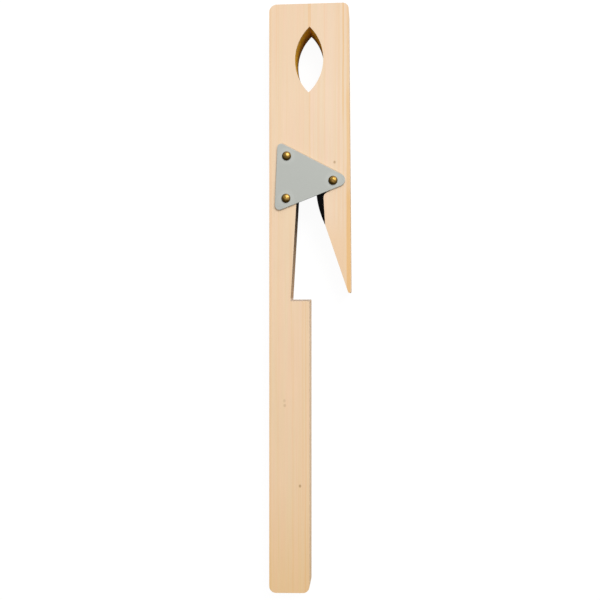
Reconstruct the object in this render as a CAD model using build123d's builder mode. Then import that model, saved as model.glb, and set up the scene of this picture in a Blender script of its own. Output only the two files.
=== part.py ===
from build123d import *
import os

# A hooked carving tool: two laths glued edge to edge, with a short blade held under a nailed plate.
# It lies on its back. X runs across it, Y along it towards the head, and Z up through its thickness.
# Outlines are drawn from the seam between the laths (x = 0) and the end of the handle (y = 0).

# Laths
tool_length = 350.0
lath_width = 24.0
lath_thickness = 18.0
hook_lath_top_width = 23.2
handle_end_slant = 0.5
beak_point = (24.65, 173.9)
beak_radius = 0.9
top_left_radius = 4.5
top_right_radius = 3.6
handle_end_radius = 4.0

# Almond eye, which straddles the seam, leans a little and narrows towards the back
eye_low = (-0.5, 297.4)
eye_left = (-8.6, 316.9)
eye_high = (0.1, 336.4)
eye_right = (8.2, 316.9)
eye_taper = 1.6

# Notch, from its ledge up to the crown of the throat
ledge_height = 174.6
ledge_depth = 11.2
ledge_slope = 1.0
throat_left = (-7.6, 235.3)
throat_crown = (0, 242.9)
throat_right = (8.4, 234.5)
jaw_start = (9.3, 218.8)

# Cover plate
plate_corners = [(-18.9, 268.6), (26.3, 244.7), (-20.7, 226.5)]
plate_radii = [2.4, 3.7, 2.7]
plate_thickness = 1.0

# Blade
blade_thickness = 1.2
blade_tip = jaw_start
blade_heel_x = 3.85
blade_belly_height = 242.7
blade_heel_height = 252.5
blade_shoulder = (17.8, 246.5)
blade_foot = (17.8, 242.9)
blade_spine_bend = (8.4, 236.7)
blade_bend_radius = 3.0
blade_corner_radius = 1.5
bevel_height = 1.0
bevel_width = 2.2
bevel_sweep = 30

# Dome-headed nails
nail_places = {
    "upper_nail": (-13.5, 259.7),
    "lower_nail": (-13.9, 234.6),
    "hook_nail": (14.0, 244.9),
}
nail_head_radius = 2.7
nail_dome_height = 1.7
nail_rim_height = 0.25
nail_shank_radius = 1.0
nail_length = 13.0
nail_point_length = 2.5
nail_hole_radius = 1.1

# The row's origin is the middle of the box's underside. The rounded beak reaches furthest across.
hook_reach = 24.6
middle_x = (hook_reach - lath_width) / 2
middle_y = tool_length / 2
plate_top = lath_thickness + plate_thickness
blade_floor = lath_thickness - blade_thickness


def level(height):
    """The drawing plane at a height above the back face."""
    return Plane(origin=(-middle_x, -middle_y, height))


def round_corners(sketch, corners):
    """Rounds the corners of an open sketch that are nearest to each x and y, to each radius."""
    for x, y, radius in corners:
        fillet(sketch.vertices().sort_by_distance((x, y, 0))[0], radius)


def cut_eye():
    """Cuts the almond eye, from its outline on the front: two arcs that meet in points."""
    with BuildSketch(level(lath_thickness)) as eye:
        with BuildLine():
            ThreePointArc(eye_low, eye_left, eye_high)
            ThreePointArc(eye_high, eye_right, eye_low)
        make_face()
    extrude(eye.sketch, amount=-lath_thickness, taper=eye_taper, mode=Mode.SUBTRACT)


def side_plane(x):
    """A plane along the tool, seen from its right side, with its origin at the handle's end."""
    return Plane(origin=(x - middle_x, -middle_y, 0), x_dir=(0, 1, 0), z_dir=(1, 0, 0))


def upright_plane(x, y, height):
    """A plane that stands across the tool, with its origin over a drawing point."""
    return Plane(origin=(x - middle_x, y - middle_y, height), x_dir=(1, 0, 0), z_dir=(0, -1, 0))


def nail_axis(place):
    """The line that a nail is driven along."""
    return Axis(upright_plane(*place, plate_top).origin, (0, 0, 1))


def shank_outline(place):
    """Half the outline of a nail's shank and point, from the plate's top down."""
    straight = nail_length - nail_point_length
    with BuildSketch(upright_plane(*place, plate_top)) as shank:
        with BuildLine():
            Polyline(
                (0, 0),
                (nail_shank_radius, 0),
                (nail_shank_radius, -straight),
                (0, -nail_length),
                close=True,
            )
        make_face()
    return shank.sketch


def drive_nail(place):
    """Cuts the hole that a nail's shank fills."""
    revolve(shank_outline(place), axis=nail_axis(place), mode=Mode.SUBTRACT)


def blade_outline():
    """The blade: its bellied edge runs from the tip up to the heel, and its spine along the throat."""
    heel_start = (blade_heel_x, blade_belly_height)
    heel_top = (blade_heel_x, blade_heel_height)
    with BuildSketch(level(blade_floor)) as blade:
        with BuildLine():
            TangentArc(heel_start, blade_tip, tangent=(0, -1))
            Polyline(
                blade_tip,
                throat_right,
                blade_spine_bend,
                blade_foot,
                blade_shoulder,
                heel_top,
                heel_start,
            )
        make_face()
        round_corners(
            blade,
            [
                (*blade_spine_bend, blade_bend_radius),
                (*blade_foot, blade_corner_radius),
                (*blade_shoulder, blade_corner_radius),
                (*heel_top, blade_corner_radius),
            ],
        )
    return blade.sketch


os.makedirs("parts", exist_ok=True)

# Handle lath: the full length, with the ledge and left wall of the notch cut into its seam side.
# The ledge's saw cut runs a little out of square, lower at the front.
with BuildPart() as handle_lath:
    with BuildSketch(level(0)) as handle_outline:
        with BuildLine():
            Polyline(
                (0, handle_end_slant),
                (-lath_width, 0),
                (-lath_width, tool_length),
                (0, tool_length),
                throat_crown,
            )
            TangentArc(throat_crown, throat_left, tangent=(-1, 0))
            Polyline(
                throat_left,
                (-ledge_depth, ledge_height),
                (0, ledge_height),
                (0, handle_end_slant),
            )
        make_face()
        round_corners(
            handle_outline,
            [
                (-lath_width, tool_length, top_left_radius),
                (-lath_width, 0, handle_end_radius),
                (0, 0, handle_end_radius),
            ],
        )
    extrude(amount=lath_thickness)
    cut_eye()
    with BuildSketch(side_plane(-ledge_depth)):
        with BuildLine():
            Polyline(
                (ledge_height, 0),
                (ledge_height, lath_thickness),
                (ledge_height - ledge_slope, lath_thickness),
                close=True,
            )
        make_face()
    extrude(amount=ledge_depth, mode=Mode.SUBTRACT)
    drive_nail(nail_places["upper_nail"])
    drive_nail(nail_places["lower_nail"])
handle_lath.part.label = "handle_lath"
export_step(handle_lath.part, "parts/handle_lath.step")

# Hook lath: from the top down to the beak, with the right wall of the throat and the blade's pocket
with BuildPart() as hook_lath:
    with BuildSketch(level(0)) as hook_outline:
        with BuildLine():
            TangentArc(throat_crown, throat_right, tangent=(1, 0))
            Polyline(
                throat_right,
                jaw_start,
                beak_point,
                (hook_lath_top_width, tool_length),
                (0, tool_length),
                throat_crown,
            )
        make_face()
        round_corners(
            hook_outline,
            [
                (hook_lath_top_width, tool_length, top_right_radius),
                (*beak_point, beak_radius),
            ],
        )
    extrude(amount=lath_thickness)
    cut_eye()
    extrude(blade_outline(), amount=blade_thickness, mode=Mode.SUBTRACT)
    drive_nail(nail_places["hook_nail"])
hook_lath.part.label = "hook_lath"
export_step(hook_lath.part, "parts/hook_lath.step")

# Blade: flush with the front of the lath, its lower side ground away to the edge
with BuildPart() as cutting_blade:
    extrude(blade_outline(), amount=blade_thickness)
    hook_x, hook_y = nail_places["hook_nail"]
    with Locations((hook_x - middle_x, hook_y - middle_y, lath_thickness)):
        Hole(nail_hole_radius)
    under_face = cutting_blade.faces().sort_by(Axis.Z)[0]
    belly = under_face.edges().filter_by(GeomType.CIRCLE).sort_by(SortBy.RADIUS)[-1]
    with BuildSketch(upright_plane(blade_heel_x, blade_belly_height, blade_floor)):
        with BuildLine():
            Polyline(
                (-bevel_width, 2 * bevel_height),
                (2 * bevel_width, -bevel_height),
                (-bevel_width, -bevel_height),
                close=True,
            )
        make_face()
    revolve(axis=Axis(belly.arc_center, (0, 0, 1)), revolution_arc=bevel_sweep, mode=Mode.SUBTRACT)
cutting_blade.part.label = "cutting_blade"
export_step(cutting_blade.part, "parts/cutting_blade.step")

# Cover plate: a rounded triangle of sheet metal with a hole for each nail
with BuildPart() as cover_plate:
    with BuildSketch(level(lath_thickness)):
        with BuildLine():
            FilletPolyline(*plate_corners, radius=plate_radii, close=True)
        make_face()
        with Locations(*nail_places.values()):
            Circle(nail_hole_radius, mode=Mode.SUBTRACT)
    extrude(amount=plate_thickness)
cover_plate.part.label = "cover_plate"
export_step(cover_plate.part, "parts/cover_plate.step")

# Nails: a domed head on the plate, and a pointed shank through it into the wood
for nail_name, place in nail_places.items():
    with BuildPart() as nail:
        with BuildSketch(upright_plane(*place, plate_top)):
            with BuildLine():
                dome = TangentArc(
                    (0, nail_dome_height), (nail_head_radius, nail_rim_height), tangent=(1, 0)
                )
                Polyline(dome @ 1, (nail_head_radius, 0), (0, 0), dome @ 0)
            make_face()
        revolve(axis=nail_axis(place))
        revolve(shank_outline(place), axis=nail_axis(place))
    nail.part.label = nail_name
    export_step(nail.part, f"parts/{nail_name}.step")
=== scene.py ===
"""The looks of a hook-shaped carving tool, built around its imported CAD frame."""
import math

import bmesh
import bpy
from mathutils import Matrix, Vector


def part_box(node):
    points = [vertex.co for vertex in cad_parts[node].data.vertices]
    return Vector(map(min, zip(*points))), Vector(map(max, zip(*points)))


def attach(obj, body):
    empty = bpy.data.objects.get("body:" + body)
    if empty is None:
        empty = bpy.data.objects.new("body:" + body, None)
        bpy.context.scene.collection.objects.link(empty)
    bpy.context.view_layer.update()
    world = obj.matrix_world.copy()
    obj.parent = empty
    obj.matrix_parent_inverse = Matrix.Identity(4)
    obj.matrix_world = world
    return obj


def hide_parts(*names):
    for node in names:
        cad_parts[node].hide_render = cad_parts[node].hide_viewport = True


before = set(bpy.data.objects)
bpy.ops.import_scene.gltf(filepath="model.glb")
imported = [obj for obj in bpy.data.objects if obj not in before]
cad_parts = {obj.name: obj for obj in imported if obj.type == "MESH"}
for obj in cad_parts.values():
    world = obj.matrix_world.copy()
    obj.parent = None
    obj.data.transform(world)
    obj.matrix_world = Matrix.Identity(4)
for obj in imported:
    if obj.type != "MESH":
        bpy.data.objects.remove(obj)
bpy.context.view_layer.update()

# Distances below are millimetres on the tool's own drawing: x from the glued seam, y from the
# handle's end and z from the back face. The frame is in metres, about the middle of the tool.
MM = 0.001
TOOL_LENGTH = 350
low_corner, high_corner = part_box("handle_lath")
ORIGIN = Vector((high_corner.x, high_corner.y - TOOL_LENGTH * MM, low_corner.z))
FRONT = high_corner.z / MM
NAILS = ("upper_nail", "lower_nail", "hook_nail")

# The sawn walls of the notch and the eye lie between these heights
WALLS_LOW, WALLS_HIGH = 172, 340

# The notch's painted shade gives way to the eye's between these, and to the ledge's grey between
# those
NOTCH_END, EYE_START = 255, 275
WALL_FOOT, LEDGE_TOP = 175.8, 175.2


def place(x, y, z):
    """A drawing point, in the frame."""
    return ORIGIN + Vector((x, y, z)) * MM


def drawing(point):
    """A point of the frame, on the drawing."""
    return (Vector(point) - ORIGIN) / MM


def middle_of(node):
    """The middle of a CAD node's box, on the drawing."""
    low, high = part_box(node)
    return drawing((low + high) / 2)


# Shader graphs


class Graph:
    """The nodes of a material or world, where a call adds a node and gives back its output."""

    def __init__(self, owner):
        owner.use_nodes = True
        self.owner = owner
        self.tree = owner.node_tree
        self.tree.nodes.clear()

    def node(self, kind, **settings):
        made = self.tree.nodes.new(kind)
        for key, value in settings.items():
            setattr(made, key, value)
        return made

    def put(self, socket, value):
        """Links an output to an input, or sets the input to a number or colour."""
        if isinstance(value, bpy.types.NodeSocket):
            self.tree.links.new(value, socket)
        else:
            socket.default_value = value

    def maths(self, operation, *values):
        made = self.node("ShaderNodeMath", operation=operation)
        for socket, value in zip(made.inputs, values):
            self.put(socket, value)
        return made.outputs[0]

    def plus(self, first, second):
        return self.maths("ADD", first, second)

    def less(self, first, second):
        return self.maths("SUBTRACT", first, second)

    def times(self, first, second):
        return self.maths("MULTIPLY", first, second)

    def larger(self, first, second):
        return self.maths("MAXIMUM", first, second)

    def distance(self, across, up):
        """The length of the arrow (across, up)."""
        squares = self.plus(self.maths("POWER", across, 2.0), self.maths("POWER", up, 2.0))
        return self.maths("SQRT", squares)

    def vector(self, operation, *values):
        made = self.node("ShaderNodeVectorMath", operation=operation)
        for socket, value in zip(made.inputs, values):
            self.put(socket, value)
        return made.outputs[0]

    def step(self, value, low, high):
        """Rises smoothly from 0 at low to 1 at high."""
        made = self.node("ShaderNodeMapRange", interpolation_type="SMOOTHSTEP")
        for name, number in (("Value", value), ("From Min", low), ("From Max", high)):
            self.put(made.inputs[name], number)
        return made.outputs["Result"]

    def spread(self, value, low, high):
        """Maps 0 to 1 onto low to high."""
        made = self.node("ShaderNodeMapRange")
        for name, number in (("Value", value), ("To Min", low), ("To Max", high)):
            self.put(made.inputs[name], number)
        return made.outputs["Result"]

    def noise(self, vector, stretch, detail=2.0, roughness=0.5):
        """Noise with so many cells per millimetre along each axis."""
        made = self.node("ShaderNodeTexNoise")
        self.put(made.inputs["Vector"], self.vector("MULTIPLY", vector, stretch))
        made.inputs["Scale"].default_value = 1.0
        made.inputs["Detail"].default_value = detail
        made.inputs["Roughness"].default_value = roughness
        return made.outputs[0]

    def ramp(self, value, stops):
        """A colour from a value, through (place, colour) stops."""
        made = self.node("ShaderNodeValToRGB")
        self.put(made.inputs[0], value)
        elements = made.color_ramp.elements
        elements[0].position, elements[1].position = stops[0][0], stops[-1][0]
        elements[0].color, elements[1].color = (*stops[0][1], 1), (*stops[-1][1], 1)
        for where, colour in stops[1:-1]:
            elements.new(where).color = (*colour, 1)
        return made.outputs[0]

    def mix(self, share, first, second, kind="MIX"):
        made = self.node("ShaderNodeMix", data_type="RGBA", blend_type=kind)
        for index, value in ((0, share), (6, first), (7, second)):
            self.put(made.inputs[index], value)
        return made.outputs[2]

    def tint(self, colour, by):
        """A colour multiplied by a colour or a grey tone."""
        return self.mix(1.0, colour, by, "MULTIPLY")

    def parts(self, vector):
        made = self.node("ShaderNodeSeparateXYZ")
        self.put(made.inputs[0], vector)
        return made.outputs

    def drawing(self):
        """The drawing point that is shaded."""
        scaled = self.node("ShaderNodeVectorMath", operation="MULTIPLY_ADD")
        self.put(scaled.inputs[0], self.node("ShaderNodeTexCoord").outputs["Object"])
        scaled.inputs[1].default_value = (1 / MM, 1 / MM, 1 / MM)
        scaled.inputs[2].default_value = -ORIGIN / MM
        return scaled.outputs[0]

    def finish(self, colour, roughness, height, depth, **fixed):
        """The material, with a bump whose height runs over so many millimetres."""
        bump = self.node("ShaderNodeBump")
        bump.inputs["Strength"].default_value = 1.0
        bump.inputs["Distance"].default_value = depth * MM
        self.put(bump.inputs["Height"], height)
        shader = self.node("ShaderNodeBsdfPrincipled")
        self.put(shader.inputs["Base Color"], colour)
        self.put(shader.inputs["Roughness"], roughness)
        self.put(shader.inputs["Normal"], bump.outputs[0])
        for name, value in fixed.items():
            shader.inputs[name.replace("_", " ")].default_value = value
        output = self.node("ShaderNodeOutputMaterial")
        self.put(output.inputs["Surface"], shader.outputs[0])
        return self.owner


def new_graph(name):
    """The graph of a new material."""
    return Graph(bpy.data.materials.new(name))


# Pine

# Its features, in noise cells per millimetre along x, y and z. Most of them run along the tool.
RING_SWAY = (0.02, 0.005, 0.02)
RING_WOBBLE = (0.2, 0.03, 0.2)
FIBRES = (4.5, 0.07, 4.5)
STREAKS = (0.9, 0.008, 0.9)
PATCHES = (0.09, 0.03, 0.09)
BLUSH, BLUSH_SHIFT = (0.33, 0.012, 0.33), (40, 0, 0)
PORES = (5.5, 5.5, 5.5)
RESIN_DUCTS = (5.0, 0.45, 5.0)
SAW_TEETH = (0.25, 2.6, 0.10)
WALL_SHADE_CLOUDS = (0.3, 0.25, 0.12)

# Where noise becomes a resin duct or a streak, how far a face turns to be a side or an end, and
# where the front starts. Each pair says where there is none and where it is full.
DUCT_START, STREAK_START = (0.70, 0.80), (0.52, 0.75)
TURNED_AWAY = (0.6, 0.9)
FRONT_START = (FRONT - 3, FRONT - 1)

# Growth rings: how far they stray in millimetres, and how much the years differ
SWAY_REACH, WOBBLE_REACH = 7.0, 0.7
YEARS_PER_MM, YEARS_STRAY = 0.11, 4.0
FAINTEST_YEAR = 0.25
SEASON = [
    (0.0, (0.0, 0.0, 0.0)),
    (0.5, (0.08, 0.08, 0.08)),
    (0.84, (0.6, 0.6, 0.6)),
    (0.95, (1.0, 1.0, 1.0)),
    (1.0, (0.0, 0.0, 0.0)),
]

# Colours: orange-tan late wood, a brown for knots and for the painted shadow along the plate's
# upper edge, worn arrises, and a tone that darkens towards the handle's end
LATE_WOOD = (0.80, 0.49, 0.205, 1)
RESIN_AND_SHADOW_BROWN = (0.30, 0.16, 0.05, 1)
WORN_WOOD = (0.93, 0.80, 0.62, 1)
# How the colour changes along the tool: darker towards the handle's end, a little at the hook's end
TONE_ALONG_TOOL = [
    (0.0, (0.93, 0.85, 0.66)),
    (0.19, (0.975, 0.945, 0.87)),
    (0.57, (0.995, 0.985, 0.965)),
    (0.85, (1.0, 1.0, 1.0)),
    (1.0, (0.975, 0.965, 0.945)),
]

# How strongly the late wood shows on the sides and on end grain, and streaks anywhere
SIDE_CONTRAST, END_CONTRAST, STREAK_SHARE = 0.80, 0.85, 0.28

# Tones that multiply or add to the colour, from where a feature is weakest to where it's strongest
FIBRE_TONES, PATCH_TONES = (0.955, 1.045), (-0.025, 0.025)
PORE_TONES, TEETH_TONES = (0.92, 0.72), (0.82, 1.12)
DUCT_DARKNESS, LATE_END_DARKNESS, SIDE_TONE = 0.10, 0.12, 0.90

# Roughness likewise, and how much worn wood shows on an arris
PLANED_ROUGHNESS, WORN_ROUGHNESS, SAWN_ROUGHNESS = (0.52, 0.70), (0.42, 0.58), (0.66, 0.85)
WEAR_SHARE = (0.25, 0.5)

# Relief in millimetres, and what share of it fibres and late wood have
PLANED_RELIEF, SAWN_RELIEF = 0.03, 0.12
FIBRE_RELIEF, LATE_RELIEF, SAWN_FIBRE_RELIEF = 0.5, -0.5, 0.3
WOOD_SPECULAR = 0.28

# Painted shade on the sawn walls: in the notch, darkest up by the plate and the blade, and in the
# eye, darkest at the back. The ledge is only greyed.
NOTCH_SHADE_START, NOTCH_SHADE_LENGTH = 170.0, 75.0
NOTCH_SHADE = [
    (0.0, (0.74, 0.66, 0.56)),
    (0.45, (0.50, 0.44, 0.36)),
    (0.62, (0.22, 0.17, 0.11)),
    (0.74, (0.09, 0.07, 0.045)),
    (0.86, (0.02, 0.02, 0.02)),
    (1.0, (0.015, 0.015, 0.015)),
]
# Painted shade in the eye, from the back face to the front: dark, saturated brown at the back
EYE_SHADE = [
    (0.0, (0.29, 0.165, 0.006)),
    (0.30, (0.60, 0.40, 0.010)),
    (0.62, (1.04, 0.80, 0.040)),
    (0.90, (1.0, 0.76, 0.06)),
    (1.0, (1.0, 0.86, 0.55)),
]
LEDGE_GREY = (0.92, 1.02, 1.22, 1)
WALL_SHADE_STRAY = (-0.03, 0.03)

# The plate's upper edge, along which a shadow line is painted: the direction that it faces, and
# how far along that direction it lies
PLATE_TOP, PLATE_TIP = Vector((-18.9, 268.6)), Vector((26.3, 244.7))
PLATE_EDGE = Vector((PLATE_TOP.y - PLATE_TIP.y, PLATE_TIP.x - PLATE_TOP.x)).normalized()
PLATE_EDGE_REACH = PLATE_EDGE.dot(PLATE_TOP)

# How dark the painted shadow along that edge is. It starts under the plate, fades beyond its edge
# and stops before its rounded corners. Each pair says where there is none and where it is full.
EDGE_SHADOW_SHARE = (0.15, 0.55)
EDGE_SHADOW_START, EDGE_SHADOW_FADE = (-1.0, -0.5), (0.75, 0.25)
EDGE_SHADOW_LEFT_END = (PLATE_TOP.x + 1.5, PLATE_TOP.x + 3.5)
EDGE_SHADOW_RIGHT_END = (PLATE_TIP.x - 5.5, PLATE_TIP.x - 8.0)


def rings(graph, point, pith, spacing):
    """Growth rings about a pith that lies outside the lath: how much late wood there is at a
    point, and the point's x with a small wobble."""
    x, _, z = graph.parts(point)
    sway = graph.less(graph.noise(point, RING_SWAY), 0.5)
    wobble = graph.less(graph.noise(point, RING_WOBBLE), 0.5)
    across = graph.plus(x, graph.times(sway, SWAY_REACH))
    across = graph.plus(across, graph.times(wobble, WOBBLE_REACH))
    radius = graph.distance(graph.less(across, pith[0]), graph.less(z, pith[1]))
    years = graph.node("ShaderNodeTexNoise", noise_dimensions="1D")
    graph.put(years.inputs["W"], graph.times(radius, YEARS_PER_MM))
    years.inputs["Scale"].default_value = 1.0
    stray = graph.times(years.outputs[0], YEARS_STRAY)
    count = graph.plus(graph.maths("DIVIDE", radius, spacing), stray)
    late = graph.ramp(graph.maths("FRACT", count), SEASON)
    weather = graph.node("ShaderNodeTexWhiteNoise", noise_dimensions="1D")
    graph.put(weather.inputs["W"], graph.maths("FLOOR", count))
    late = graph.times(late, graph.spread(weather.outputs[0], FAINTEST_YEAR, 1.0))
    return late, graph.plus(x, wobble)


def banded(graph, across, y, bands):
    """Broad late-wood bands, each at (x, half width, strength, lowest y, highest y)."""
    core_share, fade = 0.6, 25
    total = 0.0
    for middle, half, strength, bottom, top in bands:
        away = graph.maths("ABSOLUTE", graph.less(across, middle))
        band = graph.times(graph.step(away, half, half * core_share), strength)
        above = graph.step(y, bottom - fade, bottom)
        below = graph.step(y, top + fade, top)
        band = graph.times(band, graph.times(above, below))
        total = graph.larger(band, total)
    return total


def knotted(graph, x, y, knots):
    """Pin knots, each at (x, y, radius, strength), a little longer than they are wide."""
    flattening, core_share = 0.8, 0.35
    total = 0.0
    for middle, height, radius, strength in knots:
        up = graph.times(graph.less(y, height), flattening)
        away = graph.distance(graph.less(x, middle), up)
        dot = graph.times(graph.step(away, radius, radius * core_share), strength)
        total = graph.larger(dot, total)
    return total


def plate_edge_shadow(graph, x, y, fibres):
    """How much painted shadow lies along the plate's upper edge."""
    beyond = graph.plus(graph.times(x, PLATE_EDGE.x), graph.times(y, PLATE_EDGE.y))
    beyond = graph.less(beyond, PLATE_EDGE_REACH)
    shadow_line = graph.spread(fibres, *EDGE_SHADOW_SHARE)
    shadow_line = graph.times(shadow_line, graph.step(beyond, *EDGE_SHADOW_FADE))
    shadow_line = graph.times(shadow_line, graph.step(beyond, *EDGE_SHADOW_START))
    shadow_line = graph.times(shadow_line, graph.step(x, *EDGE_SHADOW_LEFT_END))
    return graph.times(shadow_line, graph.step(x, *EDGE_SHADOW_RIGHT_END))


def wall_shade_and_ledge_grey(graph, point):
    """The painted shade of a sawn wall, in the notch and in the eye, and grey on the ledge."""
    _, y, z = graph.parts(point)
    clouds = graph.noise(point, WALL_SHADE_CLOUDS, detail=3)
    stray = graph.larger(graph.spread(clouds, *WALL_SHADE_STRAY), 0.0)
    # Painted shade in the notch: darkest up by the plate and the blade
    along = graph.maths("DIVIDE", graph.less(y, NOTCH_SHADE_START), NOTCH_SHADE_LENGTH)
    notch_shade = graph.ramp(graph.plus(along, stray), NOTCH_SHADE)
    # Painted shade in the eye: darkest and most saturated brown at the back
    eye_shade = graph.ramp(graph.plus(graph.maths("DIVIDE", z, FRONT), stray), EYE_SHADE)
    wall_shade = graph.mix(graph.step(y, NOTCH_END, EYE_START), notch_shade, eye_shade)
    return graph.mix(graph.step(y, WALL_FOOT, LEDGE_TOP), wall_shade, LEDGE_GREY)


def pine(name, surface, pith, spacing, bands, knots, contrast, tints):
    """Bare pine, whose surface is planed, sawn with painted shade, or worn."""
    graph = new_graph(name + "_" + surface)
    point = graph.drawing()
    x, y, z = graph.parts(point)
    late, across = rings(graph, point, pith, spacing)
    facing = graph.parts(graph.node("ShaderNodeNewGeometry").outputs["Normal"])
    side = graph.step(graph.maths("ABSOLUTE", facing[0]), *TURNED_AWAY)
    end_grain = graph.step(graph.maths("ABSOLUTE", facing[1]), *TURNED_AWAY)
    on_front = graph.step(z, *FRONT_START)
    fibres = graph.noise(point, FIBRES, detail=3)
    streaks = graph.noise(point, STREAKS, detail=3)
    patches = graph.noise(point, PATCHES)
    blush = graph.noise(graph.vector("ADD", point, BLUSH_SHIFT), BLUSH)
    pores = graph.noise(point, PORES, detail=1)
    ducts = graph.step(graph.noise(point, RESIN_DUCTS, detail=1), *DUCT_START)

    # Early wood, which wanders between two tints, and late wood
    on_sides = graph.spread(side, contrast, SIDE_CONTRAST)
    on_ends = graph.spread(end_grain, contrast, END_CONTRAST)
    share = graph.times(late, graph.larger(on_sides, on_ends))
    share = graph.larger(share, graph.times(graph.step(streaks, *STREAK_START), STREAK_SHARE))
    share = graph.larger(share, banded(graph, across, y, bands))
    early = graph.ramp(blush, [(0.35, tints[0]), (0.65, tints[1])])
    colour = graph.mix(share, early, LATE_WOOD)
    # Darker towards the handle's end, and a little towards the hook's end
    tone_along = graph.ramp(graph.maths("DIVIDE", y, TOOL_LENGTH), TONE_ALONG_TOOL)
    colour = graph.tint(colour, tone_along)

    # Fine light and dark
    tone = graph.plus(graph.spread(fibres, *FIBRE_TONES), graph.spread(patches, *PATCH_TONES))
    tone = graph.less(tone, graph.times(ducts, DUCT_DARKNESS))
    ends = graph.less(graph.spread(pores, *PORE_TONES), graph.times(late, LATE_END_DARKNESS))
    tone = graph.times(tone, graph.spread(end_grain, 1.0, ends))
    tone = graph.times(tone, graph.spread(side, 1.0, SIDE_TONE))
    colour = graph.tint(colour, tone)
    colour = graph.mix(graph.times(knotted(graph, x, y, knots), on_front), colour, RESIN_AND_SHADOW_BROWN)
    # A painted shadow line along the plate's upper edge
    colour = graph.mix(graph.times(plate_edge_shadow(graph, x, y, fibres), on_front), colour, RESIN_AND_SHADOW_BROWN)

    height = graph.plus(graph.times(fibres, FIBRE_RELIEF), graph.times(late, LATE_RELIEF))
    depth = PLANED_RELIEF
    rough = graph.spread(fibres, *PLANED_ROUGHNESS)
    if surface == "worn":
        colour = graph.mix(graph.spread(fibres, *WEAR_SHARE), colour, WORN_WOOD)
        rough = graph.spread(fibres, *WORN_ROUGHNESS)
    if surface == "sawn":
        teeth = graph.noise(point, SAW_TEETH, detail=2)
        # The sawn walls carry painted shade: dark in the notch by the plate, and at the back of the
        # eye
        colour = graph.tint(colour, wall_shade_and_ledge_grey(graph, point))
        colour = graph.tint(colour, graph.spread(teeth, *TEETH_TONES))
        height = graph.plus(teeth, graph.times(fibres, SAWN_FIBRE_RELIEF))
        depth = SAWN_RELIEF
        rough = graph.spread(teeth, *SAWN_ROUGHNESS)
    return graph.finish(colour, rough, height, depth, Specular_IOR_Level=WOOD_SPECULAR)


# Metals

# Their features, in noise cells per millimetre along x, y and z
ROLLING_GRAIN = (9.0, 0.5, 9.0)
SCUFFS = (0.35, 0.35, 0.35)
SHEET_SCRATCHES, SCRATCH_SLANT = (7.0, 0.06, 7.0), 0.9
EDGE_WEAR = (0.8, 0.8, 0.8)
BRASS_MOTTLE = (0.9, 0.9, 0.9)
BRASS_DENTS = (0.7, 0.7, 0.7)
MILL_SCALE = (1.4, 1.4, 1.4)
STEEL_SCRATCHES = (0.12, 6.0, 6.0)
GRINDING_LINES = (1.0, 9.0, 9.0)

# Where noise becomes a scratch: none at the first number, full at the second
SHEET_SCRATCH_START, STEEL_SCRATCH_START = (0.78, 0.84), (0.74, 0.82)

# The sheet's tones, which add up, and its rubbed rings: their edges in millimetres from a nail's
# middle, how far the edges stray and how light the rings are
ROLLING_TONES, SCUFF_TONES, SCRATCH_TONE = (0.985, 1.015), (-0.03, 0.03), 0.10
RING_EDGE, RING_STRAY, RING_TONE = (6.0, 3.4), (-1, 1), 0.07

# Roughness, from where a feature is weakest to where it's strongest. The second ones add to it.
SHEET_ROUGHNESS, SCUFF_ROUGHNESS = (0.56, 0.64), (-0.05, 0.05)
BRASS_ROUGHNESS, TARNISH_ROUGHNESS = (0.34, 0.46), 0.15
RUBBED_ROUGHNESS = (0.5, 0.62)
BLACK_ROUGHNESS = (0.38, 0.55)
GROUND_ROUGHNESS = (0.22, 0.40)

# Relief in millimetres
SHEET_RELIEF, RUBBED_RELIEF, DENT_RELIEF = 0.008, 0.02, 0.35
BLACK_RELIEF, GROUND_RELIEF = 0.015, 0.02

SHEET_GREY = (0.475, 0.490, 0.458, 1)
RUBBED_GREYS = [(0.35, (0.40, 0.42, 0.40)), (0.65, (0.54, 0.56, 0.55))]
FRESH_BRASS = [(0.3, (0.35, 0.205, 0.035)), (0.7, (0.48, 0.30, 0.095))]
# A tarnish brown for the domes' rims, which also paints the shade on their lower left
TARNISH_AND_SHADE, TARNISH_AND_SHADE_SHARE = (0.06, 0.032, 0.004, 1), 0.86
# Near-zero blacks: blacked steel that also paints the deep shade in the throat under the plate
BLACKS_AND_SHADE = [(0.3, (0.0008, 0.0008, 0.001)), (0.7, (0.0025, 0.0025, 0.003))]
BARE_STEEL, BARE_SHARE = (0.25, 0.25, 0.26, 1), 0.012
GROUND_GREYS = [(0.3, (0.20, 0.20, 0.21)), (0.7, (0.42, 0.42, 0.43))]


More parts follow.
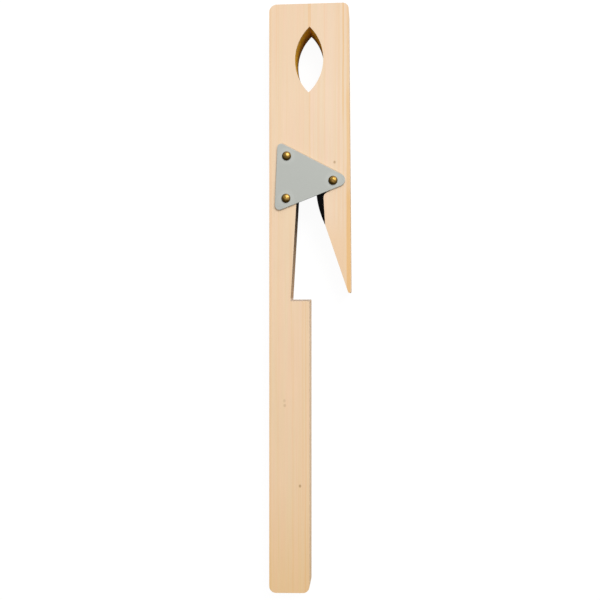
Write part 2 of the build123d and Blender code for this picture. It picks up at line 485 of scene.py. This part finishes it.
def sheet_metal():
    """Satin grey sheet with a fine rolling grain, scuffs, a few slanting scratches, and rubbed
    rings round the nails."""
    graph = new_graph("satin_sheet")
    point = graph.drawing()
    rolling = graph.noise(point, ROLLING_GRAIN, detail=2)
    scuffs = graph.noise(point, SCUFFS, detail=4, roughness=0.6)
    turned = graph.node("ShaderNodeVectorRotate", rotation_type="Z_AXIS")
    graph.put(turned.inputs["Vector"], point)
    turned.inputs["Angle"].default_value = SCRATCH_SLANT
    scratches = graph.noise(turned.outputs[0], SHEET_SCRATCHES, detail=1)
    scratches = graph.step(scratches, *SHEET_SCRATCH_START)
    tone = graph.plus(graph.spread(rolling, *ROLLING_TONES), graph.spread(scuffs, *SCUFF_TONES))
    tone = graph.plus(tone, graph.times(scratches, SCRATCH_TONE))
    x, y, _ = graph.parts(point)
    for node in NAILS:
        middle = middle_of(node)
        away = graph.distance(graph.less(x, middle.x), graph.less(y, middle.y))
        away = graph.plus(away, graph.spread(scuffs, *RING_STRAY))
        tone = graph.plus(tone, graph.times(graph.step(away, *RING_EDGE), RING_TONE))
    colour = graph.tint(SHEET_GREY, tone)
    rough = graph.spread(rolling, *SHEET_ROUGHNESS)
    rough = graph.plus(rough, graph.spread(scuffs, *SCUFF_ROUGHNESS))
    height = graph.less(rolling, scratches)
    shine = dict(Metallic=0.45, Specular_IOR_Level=0.3)
    return graph.finish(colour, rough, height, SHEET_RELIEF, **shine)


def bright_sheet():
    """The plate's rubbed edge, where bare metal shows."""
    graph = new_graph("rubbed_sheet_edge")
    wear = graph.noise(graph.drawing(), EDGE_WEAR, detail=3)
    colour = graph.ramp(wear, RUBBED_GREYS)
    rough = graph.spread(wear, *RUBBED_ROUGHNESS)
    shine = dict(Metallic=0.3, Specular_IOR_Level=0.2)
    return graph.finish(colour, rough, wear, RUBBED_RELIEF, **shine)


def brass(name, middle):
    """Dented brass that has tarnished brown round its rim, with painted shade that makes the rim
    darkest on the lower left.
    """
    shade_lean_right, shade_lean_up = 0.12, 0.20
    rim_stray = (-0.5, 0.5)
    bare_above, tarnished_below = FRONT + 2.55, FRONT + 1.5
    graph = new_graph(name)
    point = graph.drawing()
    x, y, height = graph.parts(point)
    # Painted shade: the tarnish line is tilted so that the lower left of each dome is darker
    right = graph.times(graph.less(x, middle.x), shade_lean_right)
    up = graph.times(graph.less(y, middle.y), shade_lean_up)
    height = graph.plus(height, graph.plus(right, up))
    mottle = graph.noise(point, BRASS_MOTTLE, detail=4, roughness=0.6)
    dents = graph.noise(point, BRASS_DENTS, detail=1)
    height = graph.plus(height, graph.spread(mottle, *rim_stray))
    edge = graph.step(height, bare_above, tarnished_below)
    fresh = graph.ramp(mottle, FRESH_BRASS)
    colour = graph.mix(graph.times(edge, TARNISH_AND_SHADE_SHARE), fresh, TARNISH_AND_SHADE)
    rough = graph.spread(mottle, *BRASS_ROUGHNESS)
    rough = graph.plus(rough, graph.times(edge, TARNISH_ROUGHNESS))
    return graph.finish(colour, rough, dents, DENT_RELIEF, Metallic=1.0)


def black_steel_and_shade():
    """Blacked steel with faint scratches, kept so near black that it also paints the deep shade in
    the throat under the plate.
    """
    graph = new_graph("blacked_steel_and_shade")
    point = graph.drawing()
    scale = graph.noise(point, MILL_SCALE, detail=4, roughness=0.6)
    scratches = graph.noise(point, STEEL_SCRATCHES, detail=1)
    scratches = graph.step(scratches, *STEEL_SCRATCH_START)
    colour = graph.ramp(scale, BLACKS_AND_SHADE)
    colour = graph.mix(graph.times(scratches, BARE_SHARE), colour, BARE_STEEL)
    rough = graph.spread(scale, *BLACK_ROUGHNESS)
    shine = dict(Metallic=0.2, Specular_IOR_Level=0.03)
    return graph.finish(colour, rough, scale, BLACK_RELIEF, **shine)


def ground_steel():
    """The blade's bare ground bevel, with the lines that the stone left."""
    graph = new_graph("ground_bevel")
    lines = graph.noise(graph.drawing(), GRINDING_LINES, detail=2)
    colour = graph.ramp(lines, GROUND_GREYS)
    rough = graph.spread(lines, *GROUND_ROUGHNESS)
    return graph.finish(colour, rough, lines, GROUND_RELIEF, Metallic=1.0)


# Meshes

# The indices of a lath's materials, the blade's, and the plate's second one
SURFACES = ("planed", "sawn", "worn")
PLANED, SAWN, WORN = 0, 1, 2
BLACKED_AND_SHADED, GROUND = 0, 1
RUBBED = 1

# The laths' outer sides. An inner wall stays this far from them.
HANDLE_SIDE, SEAM, HOOK_SIDE = -24.0, 0.0, 23.2
SIDE_MARGIN = 0.5

# An edge on the seam is glued above the plate's lowest point. Below it, it lies bare.
GLUE_LOW = drawing(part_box("cover_plate")[0]).y
TOUCH = 0.02

# Edges sharper than this are eased
SHARP = math.radians(30)

# How wide the arrises are, and the share of that for glued edges, for the plate's lower edges,
# which lie below half its thickness, and for the blade's
WOOD_ARRIS, GLUED_SHARE = 0.45, 0.16
PLATE_ARRIS, LOWER_SHARE = 0.3, 0.4
BLADE_ARRIS, BLADE_SHARE = 0.12, 0.5
PLATE_HALFWAY = high_corner.z + 0.5 * MM

# A nail's shank, point and head, whose sides flare out to a rim
SHANK_RADIUS, POINT_LENGTH = 1.0, 2.5
HEAD_HEIGHT, RIM_HEIGHT, RIM_FLARE = 1.7, 0.28, 0.12
UNDERCUT = 0.2

HANDLE = dict(
    pith=(-62.0, -58.0),
    spacing=2.3,
    bands=[
        (-2.2, 0.5, 0.34, 0, 175),
        (-3.9, 0.6, 0.26, 60, 175),
        (-0.8, 0.3, 0.22, 0, 175),
        (-23.2, 0.7, 0.30, 0, 350),
        (-0.35, 0.35, 0.55, 325, 350),
        (-9.8, 0.7, 0.20, 0, 150),
        (-18.4, 0.5, 0.18, 30, 350),
    ],
    knots=[(-14.9, 114.4, 1.1, 0.20), (-14.7, 111.6, 1.1, 0.26), (-5.6, 63.9, 1.0, 0.62)],
    contrast=0.20,
    tints=[(0.845, 0.618, 0.440), (0.825, 0.632, 0.436)],
)
HOOK = dict(
    pith=(-48.0, -70.0),
    spacing=2.6,
    bands=[
        (23.1, 1.5, 0.62, 232, 292),
        (23.2, 1.6, 0.88, 175, 232),
        (22.9, 1.1, 0.42, 300, 350),
        (20.0, 0.5, 0.72, 290, 350),
        (20.1, 0.4, 0.30, 190, 290),
        (17.4, 0.8, 0.22, 200, 350),
        (13.5, 11.0, 0.27, 170, 205),
        (8.8, 0.5, 0.22, 270, 350),
        (5.4, 0.9, 0.18, 180, 300),
        (0.45, 0.5, 0.50, 325, 350),
        (0.1, 0.35, 0.45, 262, 296),
    ],
    knots=[(14.9, 255.8, 0.95, 0.55)],
    contrast=0.20,
    tints=[(0.850, 0.636, 0.468), (0.832, 0.648, 0.462)],
)


def opened(node):
    """A CAD node's mesh, joined up and with its flat faces whole."""
    joined_within, flat_within = 0.001 * MM, math.radians(0.5)
    shape = bmesh.new()
    shape.from_mesh(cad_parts[node].data)
    bmesh.ops.remove_doubles(shape, verts=shape.verts, dist=joined_within)
    bmesh.ops.dissolve_limit(
        shape, angle_limit=flat_within, verts=shape.verts, edges=shape.edges
    )
    return shape


def ease(shape, share_of):
    """Weights the sharp edges, which a bevel then eases, by share_of(edge)."""
    weight = shape.edges.layers.float.new("bevel_weight_edge")
    for edge in shape.edges:
        if len(edge.link_faces) == 2 and edge.calc_face_angle() > SHARP:
            edge[weight] = share_of(edge)


def piece(name, shape, materials, node, bevel=None, bevel_material=-1):
    """A new object that rides on the tool and stands for its CAD node."""
    mesh = bpy.data.meshes.new(name)
    for face in shape.faces:
        face.smooth = True
    shape.to_mesh(mesh)
    shape.free()
    for material in materials:
        mesh.materials.append(material)
    made = bpy.data.objects.new(name, mesh)
    bpy.context.scene.collection.objects.link(made)
    if bevel:
        eased = made.modifiers.new("eased", "BEVEL")
        eased.limit_method = "WEIGHT"
        eased.width = bevel * MM
        eased.segments = 3
        eased.material = bevel_material
        made.modifiers.new("weighted", "WEIGHTED_NORMAL").keep_sharp = True
    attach(made, "root")
    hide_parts(node)


def is_inner_wall(face, left, right):
    """True for the walls of the notch and the eye, in a lath from left to right."""
    middle = drawing(face.calc_center_median())
    upright = abs(face.normal.z) < 0.5
    at_height = WALLS_LOW < middle.y < WALLS_HIGH
    inside = left + SIDE_MARGIN < middle.x < right - SIDE_MARGIN
    return upright and at_height and inside and abs(middle.x) > TOUCH


def lath_share(edge):
    """Glued edges stay nearly sharp."""
    ends = [drawing(vertex.co) for vertex in edge.verts]
    glued = all(abs(end.x) < TOUCH and end.y > GLUE_LOW for end in ends)
    return GLUED_SHARE if glued else 1.0


def plate_share(edge):
    """The plate's lower edges stay sharper than its upper ones."""
    height = sum(vertex.co.z for vertex in edge.verts) / 2
    return 1.0 if height > PLATE_HALFWAY else LOWER_SHARE


def woods_of(name, wood):
    """A lath's materials, in the order of their indices."""
    return [pine(name, surface, **wood) for surface in SURFACES]


def lath(node, left, right, woods):
    """A lath with eased arrises and sawn inner walls."""
    shape = opened(node)
    ease(shape, lath_share)
    for face in shape.faces:
        face.material_index = SAWN if is_inner_wall(face, left, right) else PLANED
    piece(node + "_wood", shape, woods, node, bevel=WOOD_ARRIS, bevel_material=WORN)


def cover_plate():
    """The plate, with a rubbed edge."""
    shape = opened("cover_plate")
    ease(shape, plate_share)
    metals = [sheet_metal(), bright_sheet()]
    piece(
        "cover_plate_sheet",
        shape,
        metals,
        "cover_plate",
        bevel=PLATE_ARRIS,
        bevel_material=RUBBED,
    )


def cutting_blade():
    """The blade: blacked, its black also painting the shade in the throat, with its slanting faces
    ground bare.
    """
    shape = opened("cutting_blade")
    ease(shape, lambda edge: BLADE_SHARE)
    for face in shape.faces:
        slanted = 0.2 < abs(face.normal.z) < 0.98
        face.material_index = GROUND if slanted else BLACKED_AND_SHADED
    steels = [black_steel_and_shade(), ground_steel()]
    piece("cutting_blade_steel", shape, steels, "cutting_blade", bevel=BLADE_ARRIS)


def turned(profile, x, y, sides=48):
    """A mesh turned from (radius, z) points about an upright line, where it starts and ends."""
    angles = [2 * math.pi * i / sides for i in range(sides)]
    shape = bmesh.new()
    rows = []
    for radius, z in profile:
        if radius == 0:
            around = [(x, y)]
        else:
            around = [(x + radius * math.cos(a), y + radius * math.sin(a)) for a in angles]
        rows.append([shape.verts.new(place(*spot, z)) for spot in around])
    for lower, upper in zip(rows, rows[1:]):
        for i in range(sides):
            j = (i + 1) % sides
            if len(upper) == 1:
                shape.faces.new((lower[i], lower[j], upper[0]))
            elif len(lower) == 1:
                shape.faces.new((lower[0], upper[j], upper[i]))
            else:
                shape.faces.new((lower[i], lower[j], upper[j], upper[i]))
    return shape


def nail(node):
    """A dome-headed nail: point, shank, a small flat under the head, a rolled rim and the dome."""
    dome_steps = 14
    low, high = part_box(node)
    middle = middle_of(node)
    bottom, top = drawing(low).z, drawing(high).z
    head_radius = (high.x - low.x) / 2 / MM
    plate_top = top - HEAD_HEIGHT
    profile = [
        (0, bottom),
        (SHANK_RADIUS, bottom + POINT_LENGTH),
        (SHANK_RADIUS, plate_top - 0.05),
        (head_radius - UNDERCUT, plate_top + 0.01),
        (head_radius, plate_top + RIM_FLARE),
        (head_radius, plate_top + RIM_HEIGHT),
    ]
    dome = HEAD_HEIGHT - RIM_HEIGHT
    ball = (head_radius**2 + dome**2) / (2 * dome)
    widest = math.asin(head_radius / ball)
    for i in range(1, dome_steps):
        angle = widest * (1 - i / dome_steps)
        profile.append((ball * math.sin(angle), top - ball * (1 - math.cos(angle))))
    profile.append((0, top))
    shape = turned(profile, middle.x, middle.y)
    piece(node + "_brass", shape, [brass(node + "_tarnish_and_shade", middle)], node)


lath("handle_lath", HANDLE_SIDE, SEAM, woods_of("handle", HANDLE))
lath("hook_lath", SEAM, HOOK_SIDE, woods_of("hook", HOOK))
cover_plate()
cutting_blade()
for node in NAILS:
    nail(node)

# Stage, lights and camera

FLOOR_REACH = 6.0
FLOOR_GREY = (0.70, 0.70, 0.70, 1)
SEEN_FLOOR_GREY = (0.08, 0.08, 0.08, 1)
FLOOR_GLOW = 0.95

# The world's light grows towards the window, between these cosines and from dim to bright
WINDOW = (0.34, 0.62, 0.71)
WORLD_FADE = (-0.35, 0.95)
WORLD_STRENGTH = (0.05, 0.78)

# Soft boxes, in metres and watts
KEY = dict(direction=WINDOW, distance=2.6, size=1.5, power=46.5)
FILL = dict(direction=(-1.0, -0.45, 0.6), distance=1.6, size=1.4, power=3.2)

# The camera hangs over the tool's middle, off to its right, and looks down at its front
CAMERA_X, CAMERA_HEIGHT = 35.9, 514.0
AIM_X, MIDDLE_Y = -5.6, 174.3
LENS = 50.34


def stage_floor():
    """A pale floor. It looks nearly white and throws little light back up at the tool."""
    shape = bmesh.new()
    bmesh.ops.create_grid(shape, x_segments=1, y_segments=1, size=FLOOR_REACH)
    mesh = bpy.data.meshes.new("floor")
    shape.to_mesh(mesh)
    shape.free()
    floor = bpy.data.objects.new("floor", mesh)
    bpy.context.scene.collection.objects.link(floor)
    graph = new_graph("pale_floor")
    dull = graph.node("ShaderNodeBsdfDiffuse")
    dull.inputs[0].default_value = FLOOR_GREY
    seen_dull = graph.node("ShaderNodeBsdfDiffuse")
    seen_dull.inputs[0].default_value = SEEN_FLOOR_GREY
    glow = graph.node("ShaderNodeEmission")
    glow.inputs[1].default_value = FLOOR_GLOW
    seen = graph.node("ShaderNodeAddShader")
    graph.put(seen.inputs[0], glow.outputs[0])
    graph.put(seen.inputs[1], seen_dull.outputs[0])
    choice = graph.node("ShaderNodeMixShader")
    graph.put(choice.inputs[0], graph.node("ShaderNodeLightPath").outputs["Is Camera Ray"])
    graph.put(choice.inputs[1], dull.outputs[0])
    graph.put(choice.inputs[2], seen.outputs[0])
    graph.put(graph.node("ShaderNodeOutputMaterial").inputs["Surface"], choice.outputs[0])
    mesh.materials.append(graph.owner)


def studio_world():
    """White where it is seen, and a soft light from above and the upper right."""
    world = bpy.data.worlds.new("studio")
    bpy.context.scene.world = world
    graph = Graph(world)
    towards = graph.node("ShaderNodeVectorMath", operation="DOT_PRODUCT")
    graph.put(towards.inputs[0], graph.node("ShaderNodeTexCoord").outputs["Generated"])
    towards.inputs[1].default_value = Vector(WINDOW).normalized()
    soft = graph.step(towards.outputs["Value"], *WORLD_FADE)
    soft = graph.spread(soft, *WORLD_STRENGTH)
    seen = graph.node("ShaderNodeLightPath").outputs["Is Camera Ray"]
    strength = graph.plus(graph.times(soft, graph.less(1.0, seen)), seen)
    background = graph.node("ShaderNodeBackground")
    background.inputs[0].default_value = (1, 1, 1, 1)
    graph.put(background.inputs[1], strength)
    graph.put(graph.node("ShaderNodeOutputWorld").inputs["Surface"], background.outputs[0])


def soft_light(name, direction, distance, size, power):
    """A square soft box that faces the tool."""
    data = bpy.data.lights.new(name, "AREA")
    data.size = size
    data.energy = power
    light = bpy.data.objects.new(name, data)
    bpy.context.scene.collection.objects.link(light)
    light.location = Vector(direction).normalized() * distance
    light.rotation_mode = "QUATERNION"
    light.rotation_quaternion = light.location.to_track_quat("Z", "Y")
    return light


stage_floor()
studio_world()
soft_light("key", **KEY)
fill = soft_light("fill", **FILL)
fill.visible_glossy = False

camera = bpy.data.objects.new("camera", bpy.data.cameras.new("camera"))
bpy.context.scene.collection.objects.link(camera)
bpy.context.scene.camera = camera
camera.data.lens = LENS
camera.data.clip_start = 0.01
camera.location = place(CAMERA_X, MIDDLE_Y, CAMERA_HEIGHT)
camera.rotation_euler = (0, math.atan2(CAMERA_X - AIM_X, CAMERA_HEIGHT - FRONT), 0)
bpy.context.scene.view_settings.view_transform = "Standard"
